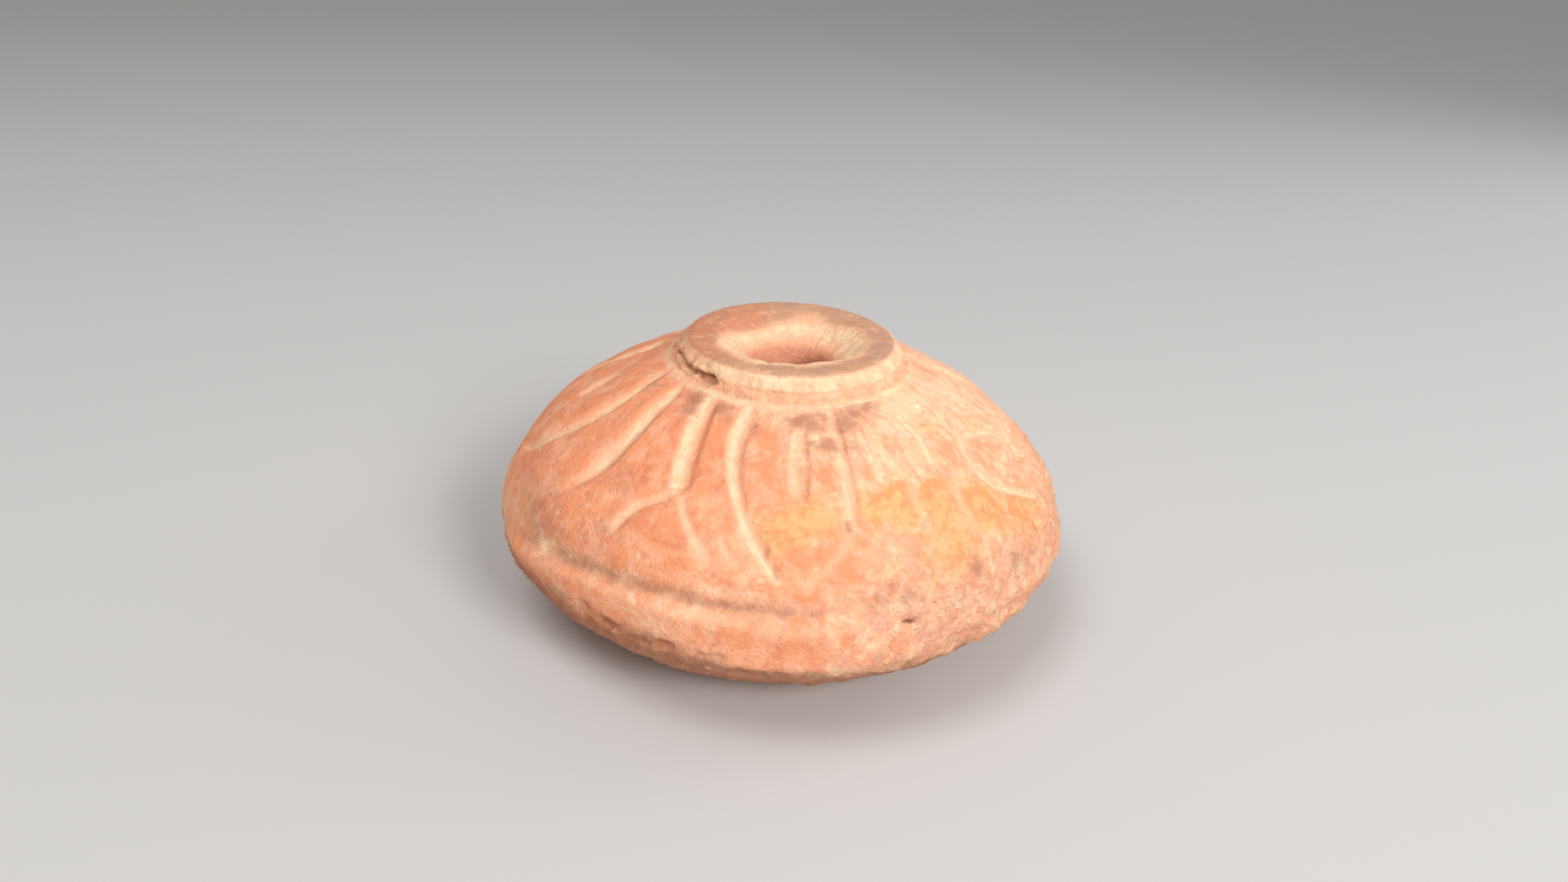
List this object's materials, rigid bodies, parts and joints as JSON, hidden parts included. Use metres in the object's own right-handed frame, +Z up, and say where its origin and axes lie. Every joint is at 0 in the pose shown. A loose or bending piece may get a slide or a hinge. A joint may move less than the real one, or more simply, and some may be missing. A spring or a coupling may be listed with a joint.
{
  "type": "clay spindle whorl",
  "caption": "Domed clay whorl with a raised collar, a bore for a hand spindle and carved petals, standing on its flat base.",
  "frame": {"origin": "centre of the flat base, on the bore's axis", "axes": "+Z up along the bore, from the base to the collar; -Y towards the front, where the pointed petal is"},
  "size_m": [0.0442, 0.0438, 0.0211],
  "materials": {
    "fired_clay": "matt orange earthenware with traces of red slip, cream deposit in the carving and grey soot round the collar"
  },
  "bodies": {
    "root": {"spindle_whorl": "fired_clay"}
  },
  "joints": []
}
